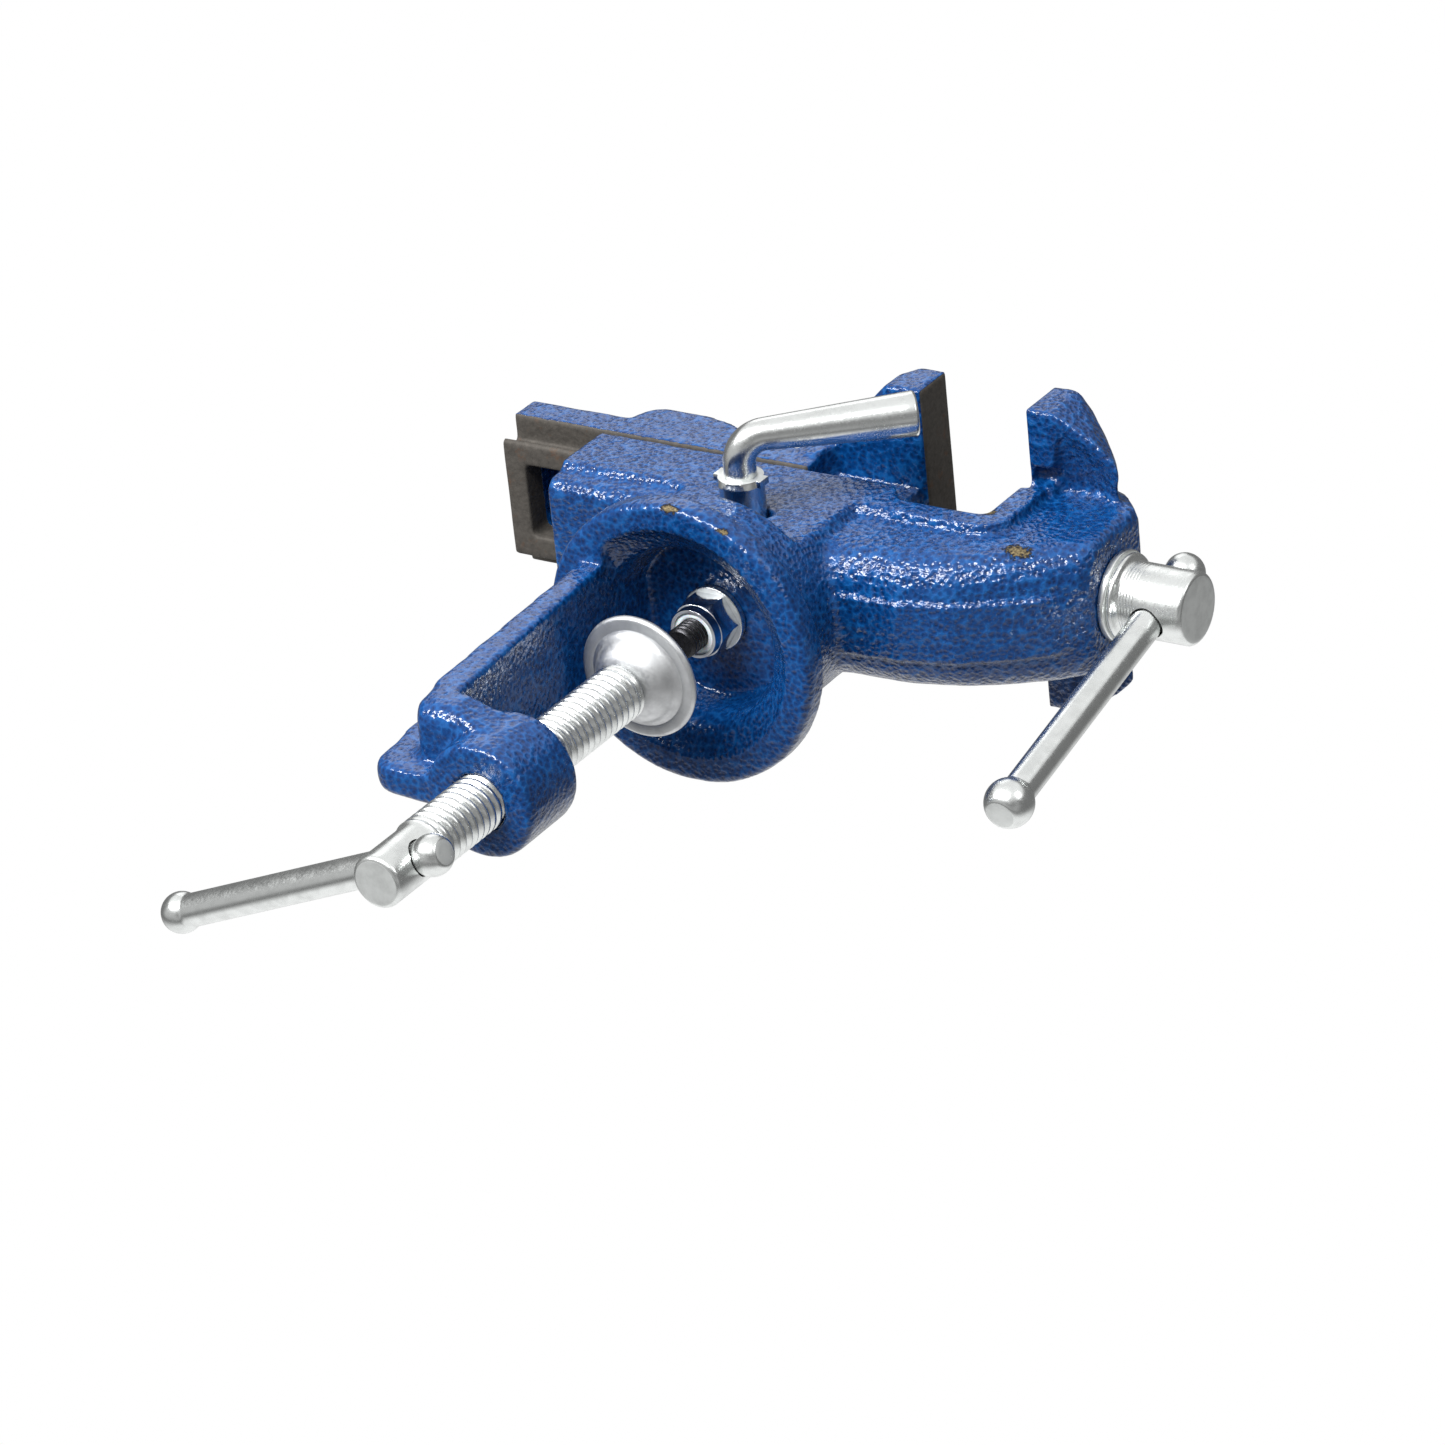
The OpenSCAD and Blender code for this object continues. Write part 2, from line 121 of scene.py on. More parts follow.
def make_world():
    """A white studio round the vise: pale under it and soft light over it, as it lies on its
    side with -Y up, and dim at the level of the lens, but less so in front of it. The camera
    itself sees plain white."""
    world = bpy.data.worlds.new("studio")
    bpy.context.scene.world = world
    world.use_nodes = True
    graph = Graph(world.node_tree)
    way = graph.add("ShaderNodeTexCoord", {}).outputs["Generated"]
    y, z = graph.add("ShaderNodeSeparateXYZ", {0: way}).outputs[1:]
    under = graph.fade(y, 0.38, 0.82, 0.0, FLOOR_GLOW)
    over = graph.fade(y, -0.60, -0.45, OVERHEAD_GLOW, 0.0)
    front = graph.math("MULTIPLY", graph.fade(z, -0.60, 0.0, FRONT_GLOW, 0.0),
                       graph.fade(y, 0.05, 0.40, 1.0, 0.0))
    lit = graph.math("ADD", under, over)
    lit = graph.math("ADD", lit, front)
    lit = graph.math("ADD", lit, DIM_GLOW)
    toward = graph.vector("DOT_PRODUCT", way, TO_CAMERA)
    lit = graph.math("MULTIPLY", lit, graph.fade(toward, 0.72, 0.97, 1.0, 0.50))
    seen = graph.add("ShaderNodeLightPath", {}).outputs["Is Camera Ray"]
    strength = graph.add("ShaderNodeMix", {0: seen, 2: lit, 3: 1.0}).outputs[0]
    background = graph.nodes["Background"]
    graph.put(background.inputs["Strength"], strength)
    graph.put(background.inputs["Color"], (1, 1, 1))


def make_floor():
    """A wide pale floor, well below the vise, because the camera looks up from under it. Its
    glow keeps it pale in the other views, and it doesn't light the vise."""
    bpy.ops.mesh.primitive_plane_add(size=40, location=(0, 0, FLOOR_Z))
    floor = bpy.context.object
    floor.name = "floor"
    shader = Shader("floor_pale")
    speckle = shader.noise(shader.p, 0.004, 3)
    shader.set("Base Color", shader.mix(speckle, (0.80, 0.80, 0.80), (0.84, 0.84, 0.84)))
    shader.set("Roughness", 0.8)
    shader.set("Emission Color", (1.0, 1.0, 1.0))
    shader.set("Emission Strength", FLOOR_EMISSION)
    floor.data.materials.append(shader.mat)
    floor.visible_glossy = False
    floor.visible_diffuse = False


# ---------------------------------------------------------------- shaders

class Graph:
    """The nodes of one tree. An input is a plain value or the socket that feeds it."""

    def __init__(self, tree):
        self.nodes, self.links = tree.nodes, tree.links

    def put(self, socket, value):
        if isinstance(value, bpy.types.NodeSocket):
            self.links.new(value, socket)
        elif isinstance(value, tuple) and socket.type == "RGBA":
            socket.default_value = (*value, 1)
        else:
            socket.default_value = value

    def add(self, kind, inputs, **settings):
        node = self.nodes.new(kind)
        for key, value in settings.items():
            setattr(node, key, value)
        for key, value in inputs.items():
            self.put(node.inputs[key], value)
        return node

    def math(self, op, a, b=0.0):
        return self.add("ShaderNodeMath", {0: a, 1: b}, operation=op).outputs[0]

    def vector(self, op, a, b=(0, 0, 0), scale=None):
        inputs = {0: a, 1: b} if scale is None else {0: a, "Scale": scale}
        node = self.add("ShaderNodeVectorMath", inputs, operation=op)
        return node.outputs["Value" if op in ("DOT_PRODUCT", "LENGTH") else "Vector"]

    def fade(self, value, low, high, to_low=0.0, to_high=1.0):
        """to_low below low, to_high above high, smooth between."""
        inputs = {"Value": value, "From Min": low, "From Max": high, "To Min": to_low, "To Max": to_high}
        return self.add("ShaderNodeMapRange", inputs, interpolation_type="SMOOTHSTEP").outputs[0]


class Shader(Graph):
    """A Principled material whose patterns read the piece's own coordinates, in millimetres."""

    def __init__(self, name):
        self.mat = bpy.data.materials.new(name)
        self.mat.use_nodes = True
        super().__init__(self.mat.node_tree)
        self.bsdf = self.nodes["Principled BSDF"]
        coords = self.add("ShaderNodeTexCoord", {})
        self.p = self.vector("SCALE", coords.outputs["Object"], scale=1 / MM)
        self.normal = coords.outputs["Normal"]
        self.x, self.y, self.z = self.add("ShaderNodeSeparateXYZ", {0: self.p}).outputs

    def set(self, name, value):
        self.put(self.bsdf.inputs[name], value)

    def mix(self, factor, a, b):
        return self.add("ShaderNodeMix", {0: factor, 6: a, 7: b}, data_type="RGBA").outputs[2]

    def noise(self, at, scale, detail=2.0, rough=0.5, dims="3D"):
        key = "W" if dims == "1D" else "Vector"
        inputs = {key: at, "Scale": scale, "Detail": detail, "Roughness": rough}
        return self.add("ShaderNodeTexNoise", inputs, noise_dimensions=dims).outputs[0]

    def cells(self, at, scale, smooth=0.35):
        inputs = {"Vector": at, "Scale": scale, "Smoothness": smooth}
        return self.add("ShaderNodeTexVoronoi", inputs, feature="SMOOTH_F1").outputs["Distance"]

    def bump(self, height, depth, strength):
        """A normal that follows height, whose unit is depth millimetres."""
        inputs = {"Height": height, "Distance": depth * MM, "Strength": strength}
        return self.add("ShaderNodeBump", inputs).outputs[0]

    def inside(self, value, low, high, soft=0.05):
        """1 where low < value < high."""
        return self.math("MULTIPLY", self.fade(value, low - soft, low + soft),
                         self.fade(value, high - soft, high + soft, 1.0, 0.0))

    def all_of(self, *masks):
        result = masks[0]
        for mask in masks[1:]:
            result = self.math("MULTIPLY", result, mask)
        return result

    def any_of(self, *masks):
        result = masks[0]
        for mask in masks[1:]:
            result = self.math("MAXIMUM", result, mask)
        return result


def chip_mask(s, spots):
    """Ragged spots where the paint has come off, each (centre, (rx, ry, rz)): where they are
    and how far their dark edge has given way to rust."""
    rag = s.math("MULTIPLY", s.math("SUBTRACT", s.noise(s.p, 1.1, 5, 0.85), 0.5), 3.4)
    masks, cores = [], []
    for centre, radii in spots:
        shrunk = s.vector("MULTIPLY", s.vector("SUBTRACT", s.p, centre), tuple(1 / r for r in radii))
        distance = s.math("ADD", s.vector("LENGTH", shrunk), rag)
        masks.append(s.fade(distance, 0.95, 1.0, 1.0, 0.0))
        cores.append(s.fade(distance, 0.45, 0.85, 1.0, 0.0))
    return s.any_of(*masks), s.any_of(*cores)


def paint(name, depth, bare=None, spots=()):
    """Hammered blue enamel on a sand casting, its craters depth mm deep, with bare iron where
    bare(shader) says so and the paint chipped off at the spots."""
    s = Shader(name)
    drift = s.add("ShaderNodeTexNoise", {"Vector": s.p, "Scale": 0.8}).outputs["Color"]
    wander = s.vector("SCALE", drift, scale=0.7)
    cell = s.cells(s.vector("ADD", s.p, wander), 1.0, 0.25)
    small = s.cells(s.p, 1.9, 0.2)
    patch = s.noise(s.p, 0.09, 3)
    grain = s.noise(s.p, 2.4, 3, 0.6)
    dark, mid, light = (0.001, 0.015, 0.072), (0.001, 0.036, 0.152), (0.005, 0.073, 0.250)
    # The enamel is darker in each crater's centre and lighter on its rim, following the craters' height:
    # partly its own mottle, partly painted shade in the craters and painted highlight on the rims.
    color = s.mix(s.fade(cell, 0.12, 0.50), dark, mid)
    color = s.mix(s.fade(cell, 0.48, 0.80), color, light)
    color = s.mix(s.fade(grain, 0.50, 0.72, 0.0, 0.40), color, dark)
    color = s.mix(s.fade(patch, 0.35, 0.75, 0.0, 0.35), color, mid)
    rough = s.fade(grain, 0.3, 0.7, 0.22, 0.40)
    swell = s.noise(s.p, 0.30, 2)
    height = s.math("ADD", s.math("MULTIPLY", cell, 1.3), s.math("MULTIPLY", small, 0.25))
    height = s.math("ADD", height, s.math("MULTIPLY", swell, 1.4))
    masks = []
    if spots:
        chips, cores = chip_mask(s, spots)
        rust = s.mix(s.fade(s.noise(s.p, 2.3, 5, 0.8), 0.35, 0.65),
                     (0.040, 0.030, 0.020), (0.24, 0.19, 0.10))
        color = s.mix(chips, color, s.mix(cores, (0.014, 0.013, 0.014), rust))
        masks.append(chips)
        height = s.math("SUBTRACT", height, s.math("MULTIPLY", chips, 1.2))
    if bare is not None:
        iron = bare(s)
        color = s.mix(iron, color, iron_color(s))
        masks.append(iron)
        height = s.math("MULTIPLY", height, s.fade(iron, 0.0, 1.0, 1.0, 0.35))
    if masks:
        off = s.any_of(*masks)
        rough = s.math("MAXIMUM", rough, s.math("MULTIPLY", off, 0.62))
        s.set("Coat Weight", s.math("SUBTRACT", 1.0, off))
        s.set("Metallic", s.math("MULTIPLY", off, 0.25))
    else:
        s.set("Coat Weight", 1.0)
    s.set("Base Color", color)
    s.set("Roughness", rough)
    s.set("Coat Roughness", 0.10)
    s.set("Coat IOR", 1.40)
    s.set("Specular IOR Level", 0.08)
    relief = s.bump(height, depth, 0.9)
    s.set("Normal", relief)
    s.set("Coat Normal", relief)
    return s.mat


def iron_color(s):
    """Dark grey iron with a brown tint in patches."""
    base = s.mix(s.noise(s.p, 0.9, 5, 0.7), (0.028, 0.026, 0.024), (0.115, 0.105, 0.093))
    return s.mix(s.fade(s.noise(s.p, 0.35, 4, 0.65), 0.56, 0.75, 0.0, 0.55), base, (0.11, 0.055, 0.030))


def bare_iron(name):
    """Iron without paint, as the small hidden parts are."""
    s = Shader(name)
    s.set("Base Color", iron_color(s))
    s.set("Metallic", 0.5)
    s.set("Roughness", s.fade(s.noise(s.p, 1.3, 4), 0.3, 0.7, 0.38, 0.62))
    s.set("Normal", s.bump(s.noise(s.p, 1.8, 5, 0.7), 0.12, 0.7))
    return s.mat


def steel(name, origin, axis, color=(0.79, 0.81, 0.80), rough=(0.20, 0.34), rings=0.5, streaks=0.0,
          thread=None):
    """Zinc-plated steel, turned or drawn about an axis: rings follow the lathe tool and run
    round the end faces, streaks run along the bar. thread is the radius of a thread's root,
    in which the colour is made darker, and where the thread starts and ends along the axis."""
    s = Shader(name)
    from_origin = s.vector("SUBTRACT", s.p, tuple(origin))
    along = s.vector("DOT_PRODUCT", from_origin, tuple(axis))
    across = s.vector("SUBTRACT", from_origin, s.vector("SCALE", tuple(axis), scale=along))
    radius = s.vector("LENGTH", across)
    lathe = s.noise(s.math("ADD", s.math("MULTIPLY", along, 5.0), s.math("MULTIPLY", radius, 5.0)),
                    1.0, 3, 0.7, "1D")
    drawn = s.noise(s.vector("NORMALIZE", across), 26.0, 3, 0.6)
    cloud = s.noise(s.p, 0.35, 4, 0.6)
    spots = s.noise(s.p, 2.2, 4, 0.7)
    tint = s.mix(s.fade(cloud, 0.35, 0.70), color, tuple(c * 0.86 for c in color))
    tint = s.mix(s.fade(spots, 0.70, 0.80, 0.0, 0.40), tint, (0.30, 0.30, 0.28))
    if thread is not None:
        root, start, end = thread
        # The colour is made darker in the thread's roots, near the root radius.
        root_darkening = s.math("ADD", radius, s.math("MULTIPLY", s.noise(s.p, 0.9, 3), 0.3))
        root_darkening = s.all_of(s.fade(root_darkening, root - 0.15, root + 0.20, 0.75, 0.0),
                        s.inside(along, start, end))
        tint = s.mix(root_darkening, tint, (0.10, 0.10, 0.095))
    s.set("Base Color", tint)
    s.set("Metallic", 1.0)
    satin = s.math("ADD", s.math("MULTIPLY", cloud, 0.5), s.math("MULTIPLY", spots, 0.5))
    facing = s.math("ABSOLUTE", s.vector("DOT_PRODUCT", s.normal, tuple(axis)))
    turned_end = s.fade(facing, 0.93, 0.99)
    s.set("Roughness", s.math("MAXIMUM", s.fade(satin, 0.35, 0.65, *rough),
                              s.math("MULTIPLY", turned_end, END_ROUGH)))
    height = s.math("ADD", s.math("MULTIPLY", lathe, rings), s.math("MULTIPLY", drawn, streaks))
    height = s.math("ADD", height, s.math("MULTIPLY", cloud, 0.6))
    s.set("Normal", s.bump(height, 0.03, 0.5))
    return s.mat


def black_oxide(name):
    """The swivel bolt's black finish."""
    s = Shader(name)
    s.set("Base Color", s.mix(s.noise(s.p, 1.5, 4), (0.012, 0.012, 0.014), (0.045, 0.045, 0.05)))
    s.set("Metallic", 0.8)
    s.set("Roughness", s.fade(s.noise(s.p, 3.0, 3), 0.3, 0.7, 0.22, 0.42))
    s.set("Normal", s.bump(s.noise(s.p, 3.5, 3), 0.03, 0.5))
    return s.mat


def nylon(name):
    """The lock nut's pale insert."""
    s = Shader(name)
    s.set("Base Color", s.mix(s.noise(s.p, 1.0, 3), (0.62, 0.68, 0.72), (0.74, 0.78, 0.80)))
    s.set("Roughness", s.fade(s.noise(s.p, 2.0, 2), 0.3, 0.7, 0.30, 0.45))
    s.set("Subsurface Weight", 0.2)
    s.set("Subsurface Scale", 0.001)
    s.set("Normal", s.bump(s.noise(s.p, 2.5, 2), 0.02, 0.4))
    return s.mat


# ---------------------------------------------------------------- meshes

def new_object(name, points, faces):
    """A mesh object from points in millimetres."""
    mesh = bpy.data.meshes.new(name)
    mesh.from_pydata([tuple(c * MM for c in p) for p in points], [], faces)
    mesh.validate()
    mesh.update()
    obj = bpy.data.objects.new(name, mesh)
    bpy.context.scene.collection.objects.link(obj)
    return obj


def soften(obj, angle=35.0):
    """Smooth shading that keeps edges sharper than angle."""
    mesh = obj.data
    mesh.polygons.foreach_set("use_smooth", [True] * len(mesh.polygons))
    mesh.set_sharp_from_angle(angle=math.radians(angle))


def finish_piece(obj, material, body, slot, *nodes):
    """Material, body and the CAD nodes that the piece stands for."""
    obj.data.materials.clear()
    obj.data.materials.append(material)
    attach(obj, body)
    if nodes:
        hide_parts(*nodes)


def placing(origin, axis):
    """Matrix from a lathe's own frame, with +Z along its axis, to the vise's, in millimetres."""
    turn = Vector(axis).to_track_quat("Z", "Y").to_matrix().to_4x4()
    return Matrix.Translation(Vector(origin)) @ turn


def tooth(turn):
    """Depth of a rolled thread, 0 on its crest and 1 in its root, over one turn from 0 to 1."""
    wave = 0.5 - 0.5 * math.cos(TAU * turn)
    return wave ** 2.2


def lathe(name, rows, origin, axis, steps=72, closed=False, depth=0.0, pitch=PITCH):
    """Turns rows of (along, radius, thread) about an axis. thread scales the helical groove.
    A closed outline is a ring, and any other ends in caps."""
    place = placing(origin, axis)
    points, faces = [], []
    for along, radius, thread in rows:
        for i in range(steps):
            turn = i / steps
            r = radius
            if thread:
                r -= depth * thread * tooth((along / pitch - turn) % 1.0)
            points.append(place @ Vector((r * math.cos(TAU * turn), r * math.sin(TAU * turn), along)))
    n = len(rows)
    for j in range(n if closed else n - 1):
        a, b = j * steps, ((j + 1) % n) * steps
        for i in range(steps):
            k = (i + 1) % steps
            faces.append((a + i, a + k, b + k, b + i))
    if not closed:
        for row, flip in ((0, True), (n - 1, False)):
            hub = len(points)
            points.append(place @ Vector((0, 0, rows[row][0])))
            for i in range(steps):
                k = (i + 1) % steps
                a, b = row * steps + i, row * steps + k
                faces.append((hub, b, a) if flip else (hub, a, b))
    obj = new_object(name, points, faces)
    recalculate(obj)
    return obj


def recalculate(obj):
    """Face normals outward."""
    work = bmesh.new()
    work.from_mesh(obj.data)
    bmesh.ops.recalc_face_normals(work, faces=work.faces)
    work.to_mesh(obj.data)
    work.free()


def arc(along, radius, size, start, end, count=5):
    """Rows round a corner whose centre is (along, radius), from angle start to end in degrees."""
    rows = []
    for i in range(count + 1):
        a = math.radians(start + (end - start) * i / count)
        rows.append((along + size * math.cos(a), radius + size * math.sin(a), 0.0))
    return rows


def thread_rows(start, end, radius, pitch=PITCH, run=1.2):
    """Rows of a threaded stretch, whose groove fades out over run turns at both ends."""
    count = int(round((end - start) / pitch * 9))
    rows = []
    for i in range(count + 1):
        along = start + (end - start) * i / count
        edge = min(along - start, end - along) / (pitch * run)
        rows.append((along, radius, max(0.001, min(1.0, edge))))
    return rows


def apply_modifiers(obj):
    """Replaces the object's mesh with what its modifiers make of it."""
    graph = bpy.context.evaluated_depsgraph_get()
    made = bpy.data.meshes.new_from_object(obj.evaluated_get(graph))
    obj.modifiers.clear()
    old = obj.data
    obj.data = made
    bpy.data.meshes.remove(old)


def combine(obj, tool, operation):
    """Cuts tool out of obj or joins it on, and deletes tool."""
    modifier = obj.modifiers.new("combine", "BOOLEAN")
    modifier.operation, modifier.solver, modifier.object = operation, "EXACT", tool
    apply_modifiers(obj)
    bpy.data.objects.remove(tool)


def cross_hole(obj, centre, axis, radius, reach, lip):
    """Drills a hole through obj whose two mouths open out by lip."""
    rows = [(-reach - 3, radius + lip + 3, 0), (-reach + lip, radius, 0),
            (reach - lip, radius, 0), (reach + 3, radius + lip + 3, 0)]
    combine(obj, lathe("drill", rows, centre, axis, 64), "DIFFERENCE")


def soft_copy(node, width, segments):
    """A copy of a CAD node whose edges are rounded over width millimetres."""
    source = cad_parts[node]
    obj = bpy.data.objects.new(node + "_look", source.data.copy())
    bpy.context.scene.collection.objects.link(obj)
    obj.data.materials.clear()
    work = bmesh.new()
    work.from_mesh(obj.data)
    bmesh.ops.remove_doubles(work, verts=work.verts, dist=0.002 * MM)
    bmesh.ops.dissolve_limit(work, angle_limit=math.radians(1.0), verts=work.verts, edges=work.edges)
    work.to_mesh(obj.data)
    work.free()
    bevel = obj.modifiers.new("bevel", "BEVEL")
    bevel.width, bevel.segments, bevel.limit_method = width * MM, segments, "ANGLE"
    bevel.angle_limit, bevel.use_clamp_overlap = math.radians(30.0), True
    apply_modifiers(obj)
    if obj.data.has_custom_normals:
        with bpy.context.temp_override(object=obj, active_object=obj):
            bpy.ops.mesh.customdata_custom_splitnormals_clear()
    soften(obj)
    return obj


def cast(node, crisp=None, soft=None, ridges=None, seed=0.0):
    """A CAD node as it comes out of the sand: one skin with rounded edges and filled corners.
    Per point, crisp gives how much of the rounding it takes and soft how much of a second
    rounding. ridges gives the height that stands proud of the surface. seed moves the
    waviness, so that each casting has its own."""
    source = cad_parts[node]
    obj = bpy.data.objects.new(node + "_look", source.data.copy())
    bpy.context.scene.collection.objects.link(obj)
    obj.data.materials.clear()
    remesh = obj.modifiers.new("skin", "REMESH")
    remesh.mode, remesh.voxel_size, remesh.adaptivity = "VOXEL", SKIN * MM, 0.0
    apply_modifiers(obj)
    mesh = obj.data
    count = len(mesh.vertices)
    points = np.empty(count * 3)
    mesh.vertices.foreach_get("co", points)
    points = points.reshape(-1, 3) / MM
    edges = np.empty(len(mesh.edges) * 2, int)
    mesh.edges.foreach_get("vertices", edges)
    a, b = edges[0::2], edges[1::2]
    degree = np.bincount(a, minlength=count) + np.bincount(b, minlength=count)
    share = np.ones(count) if crisp is None else crisp(points)

    def relax(weight):
        total = np.empty_like(points)
        for i in range(3):
            total[:, i] = np.bincount(a, points[b, i], count) + np.bincount(b, points[a, i], count)
        return points + (total / degree[:, None] - points) * (0.5 * weight[:, None])

    for _ in range(ROUND_PASSES):
        points = relax(share)
    if soft is not None:
        weight = soft(points)
        for _ in range(SOFT_PASSES):
            points = relax(weight)
    mesh.vertices.foreach_set("co", (points * MM).ravel())
    mesh.update()
    normals = np.empty(count * 3)
    mesh.vertices.foreach_get("normal", normals)
    normals = normals.reshape(-1, 3)
    shift = Vector((seed, seed, seed))
    wave = np.array([noise.noise(Vector(p) * 0.16 + shift)
                     + 0.55 * noise.noise(Vector(p) * 0.42 - shift) for p in points])
    height = LUMPS * wave * share
    if ridges is not None:
        height += ridges(points, normals)
    points += normals * height[:, None]
    mesh.vertices.foreach_set("co", (points * MM).ravel())
    mesh.update()
    mesh.polygons.foreach_set("use_smooth", [True] * len(mesh.polygons))
    return obj


def near(values, plane, width):
    """1 away from a machined plane, falling to 0.12 within width of it."""
    return np.clip(np.abs(values - plane) / width, 0.12, 1.0)


# ---------------------------------------------------------------- the three castings

def jaw_crisp(points):
    """The jaw's face stays flat and the slide keeps close to its planes."""
    x, _, z = points.T
    return near(x, 21.0, 1.0) * np.where(z < 45.9, 0.35, 1.0)


def body_crisp(points):
    """The fixed jaw's face, the guide and the stop under the face keep close to their planes."""
    x, y, z = points.T
    guide = (z > 39.9) & (z < 45.5) & (np.abs(y) < 14.0) & (x < 17.2)
    face = np.where(z > 53.0, near(x, 42.8, 1.0), 1.0)
    stop = (x > 39.0) & (x < 43.5) & (np.abs(y) < 12.0) & (z > 47.0) & (z < 54.0)
    return face * np.where(guide, 0.3, 1.0) * np.where(stop, 0.2, 1.0)


def step(values, low, high):
    """0 below low, 1 above high, smooth between."""
    u = np.clip((values - low) / (high - low), 0, 1)
    return u * u * (3 - 2 * u)


def ball(points, centre, radius):
    """1 at centre, falling to 0 at radius."""
    return 1 - step(np.linalg.norm(points - np.array(centre), axis=1), 0.3 * radius, radius)


def clamp_soft(points):
    """The foot's outer corner and the corner beside it are rounder than the rest."""
    foot = ball(points, (-22, 0, -59), 11)
    beside = ball(points, (-17, -13, -55), 7)
    return np.maximum(0.45 * foot, 0.7 * beside)


def body_soft(points):
    """Big fillets where the column meets the arch and where the wings meet the neck."""
    x, y, z = points.T
    root = np.exp(-((x - 21.5) / 2.2) ** 2) * (z < 36) * (z > 15)
    scoops = sum(ball(points, (54, side * 15, 57), 7) for side in (-1, 1))
    return 0.6 * np.clip(np.maximum(root * 0.8, scoops), 0, 1)


def body_ridges(points, normals):
    """Raised band under the arch with a bead along each side and a broken parting line."""
    x, y, z = points.T
    under = step(-normals[:, 2], 0.25, 0.55) * step(x, 21, 24) * (1 - step(x, 58.5, 61))
    width = np.abs(y)
    plateau = 0.35 * (1 - step(width, 4.6, 5.6))
    bead = 0.65 * np.exp(-((width - 5.3) / 0.6) ** 2)
    dash = 0.22 * np.exp(-(y / 0.35) ** 2) * (np.sin(x * 1.7 + 1.3 * np.sin(x * 0.61)) > -0.35)
    across = 0.18 * np.exp(-((z - 56.2 - 0.2 * (x - 45)) / 0.4) ** 2) * step(x, 46, 48) * (width < 14.5)
    return under * (plateau + bead + dash) + across * step(width, 12.6, 13.0)


def jaw_ridges(points, normals):
    """The nose under the jaw's face stands back, clear of the neck when the jaw is shut."""
    x, _, z = points.T
    nose = (x > 17.5) & (x < 20.6) & (z > 47.0) & (z < 54.0)
    return -0.3 * nose * step(normals[:, 0], 0.2, 0.7)


def jaw_bare(s):
    """Bare iron on the ground face of the jaw and all over the slide."""
    rag = s.math("MULTIPLY", s.math("SUBTRACT", s.noise(s.p, 0.8, 3), 0.5), 0.5)
    low = s.fade(s.math("ADD", s.z, rag), 45.75, 45.95, 1.0, 0.0)
    return s.any_of(low, s.fade(s.x, 20.72, 20.80))


def body_bare(s):
    """Bare iron in the guide, on its top edges and on the fixed jaw's face."""
    guide = s.all_of(s.inside(s.z, 40.25, 45.35), s.inside(s.y, -13.3, 13.3),
                     s.fade(s.x, 17.0, 17.1, 1.0, 0.0))
    top = s.all_of(s.inside(s.z, 44.98, 45.4), s.fade(s.x, 18.0, 18.1, 1.0, 0.0))
    face = s.all_of(s.inside(s.x, 42.3, 43.02), s.fade(s.z, 53.8, 54.0))
    return s.any_of(guide, top, face)


def make_castings():
    """The clamp frame, the swivelling body and the moving jaw, in blue enamel."""
    clamp = cast("clamp_frame", soft=clamp_soft, seed=3.0)
    rim_chips = (((0.96, -27.4, 0.6), (1.6, 1.2, 1.1)), ((12.0, -24.7, 0.5), (1.1, 0.8, 0.8)))
    finish_piece(clamp, paint("paint_clamp", 0.12, spots=rim_chips), "clamp", "paint", "clamp_frame")
    body = cast("vise_body", body_crisp, body_soft, body_ridges, seed=11.0)
    body_chips = (((52.0, -13.2, 33.0), (2.6, 2.0, 1.8)), ((41.5, -15.2, 41.0), (1.6, 1.0, 1.0)))
    finish_piece(body, paint("paint_body", 0.22, body_bare, body_chips), "body", "paint", "vise_body")
    jaw = cast("moving_jaw", jaw_crisp, ridges=jaw_ridges, seed=23.0)
    finish_piece(jaw, paint("paint_jaw", 0.16, jaw_bare), "jaw", "paint", "moving_jaw")


# ---------------------------------------------------------------- screws, bars and small parts

def ball_rows(centre, diameter, bar_radius, first):
    """Rows of a ball with a flat outer end. first says that the bar follows the ball."""
    r = diameter / 2
    flat = 0.39 * diameter
    flat_radius = math.sqrt(r * r - flat * flat)
    start = math.degrees(math.acos(-flat / r))
    neck = 180 - math.degrees(math.asin(bar_radius / r))
    rows = [(centre - flat, 0.55 * flat_radius, 0), (centre - flat + 0.04, flat_radius - 0.22, 0)]
    for i in range(15):
        a = math.radians(start - 4 + (180 - neck - start + 4) * i / 14)
        rows.append((centre + r * math.cos(a), r * math.sin(a), 0))
    rows.append((rows[-1][0] + 0.45, bar_radius, 0))
    if first:
        return rows
    return [(2 * centre - along, radius, 0) for along, radius, _ in reversed(rows)]


def bar(name, node, body, origin, axis, first, last, first_d, last_d):
    """A sliding bar: a straight rod with an upset ball on each end. first and last are the
    balls' places along it, first_d and last_d their diameters."""
    middle = [(along, BAR_R, 0) for along in np.linspace(first + 6, last - 6, 12)]
    rows = ball_rows(first, first_d, BAR_R, True) + middle + ball_rows(last, last_d, BAR_R, False)
    obj = lathe(name, rows, origin, axis, 48)
    soften(obj, 50)
    look = steel("zinc_" + name, origin, axis, rings=0.12, streaks=0.55, rough=(0.18, 0.32))
    finish_piece(obj, look, body, "zinc", node)


